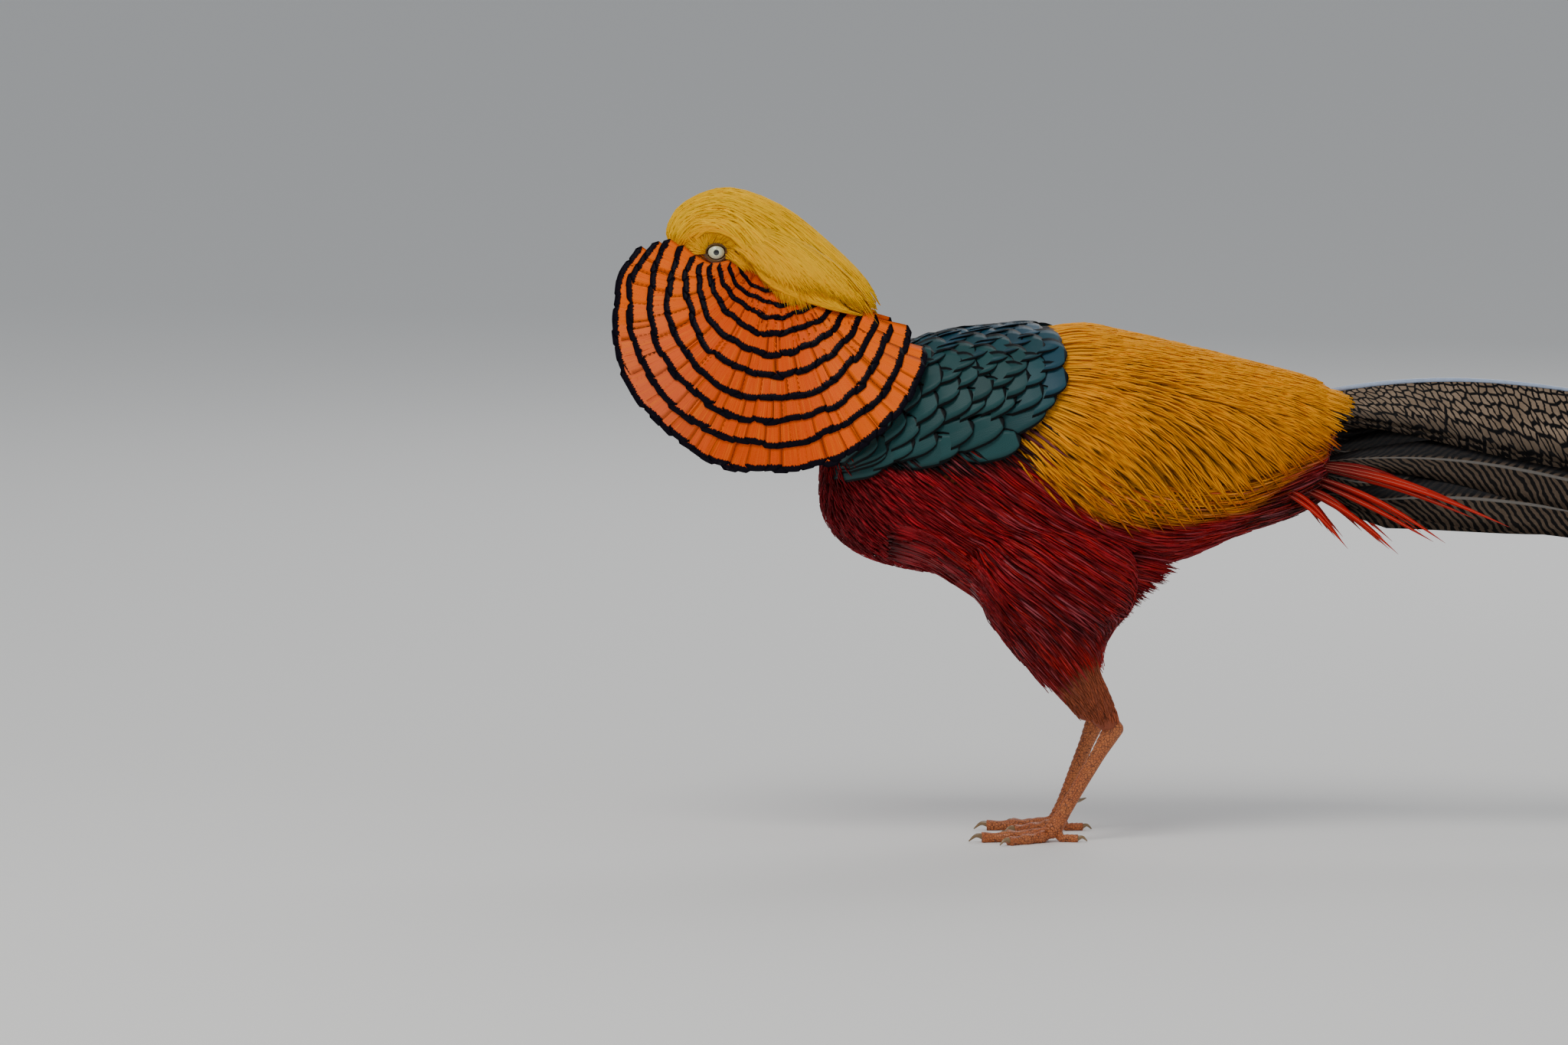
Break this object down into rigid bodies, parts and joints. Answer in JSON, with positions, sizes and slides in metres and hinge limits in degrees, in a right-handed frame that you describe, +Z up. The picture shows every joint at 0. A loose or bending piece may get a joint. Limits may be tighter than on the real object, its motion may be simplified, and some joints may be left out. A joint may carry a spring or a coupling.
{
  "type": "male golden pheasant, life-size standing model",
  "caption": "Life-size still model of a displaying male golden pheasant, standing on its feet with crest, fanned ruff and long tail.",
  "frame": {"origin": "on the floor, under the middle of the whole length and width", "axes": "+Z up, -X ahead of the bird, +X towards the tail's tip, -Y its left side"},
  "size_m": [1.0109, 0.1399, 0.3912],
  "materials": {
    "crest_yellow": "silky hair-like feathers",
    "ruff_orange": "satin square-ended feathers with blue-black bars",
    "rump_gold": "silky loose-barbed feathers",
    "mantle_green": "glossy scale feathers with black rims",
    "breast_red": "soft streaky feathers",
    "wing_brown": "matt feathers",
    "tail_barred": "satin feathers with buff spots and bars",
    "leg_skin": "satin scaled skin",
    "bill_horn": "satin horn",
    "claw_horn": "satin horn",
    "eye": "wet gloss"
  },
  "bodies": {
    "root": {"torso": "rump_gold", "head": "crest_yellow", "neck": "ruff_orange", "bill_upper": "bill_horn", "bill_lower": "bill_horn", "tail": "tail_barred", "eye_left": "eye", "wing_left": "wing_brown", "thigh_left": "breast_red", "shank_left": "leg_skin", "spur_left": "claw_horn", "foot_left": "leg_skin", "claw_left_inner": "claw_horn", "claw_left_middle": "claw_horn", "claw_left_outer": "claw_horn", "claw_left_hind": "claw_horn", "eye_right": "eye", "wing_right": "wing_brown", "thigh_right": "breast_red", "shank_right": "leg_skin", "spur_right": "claw_horn", "foot_right": "leg_skin", "claw_right_inner": "claw_horn", "claw_right_middle": "claw_horn", "claw_right_outer": "claw_horn", "claw_right_hind": "claw_horn"}
  },
  "joints": []
}
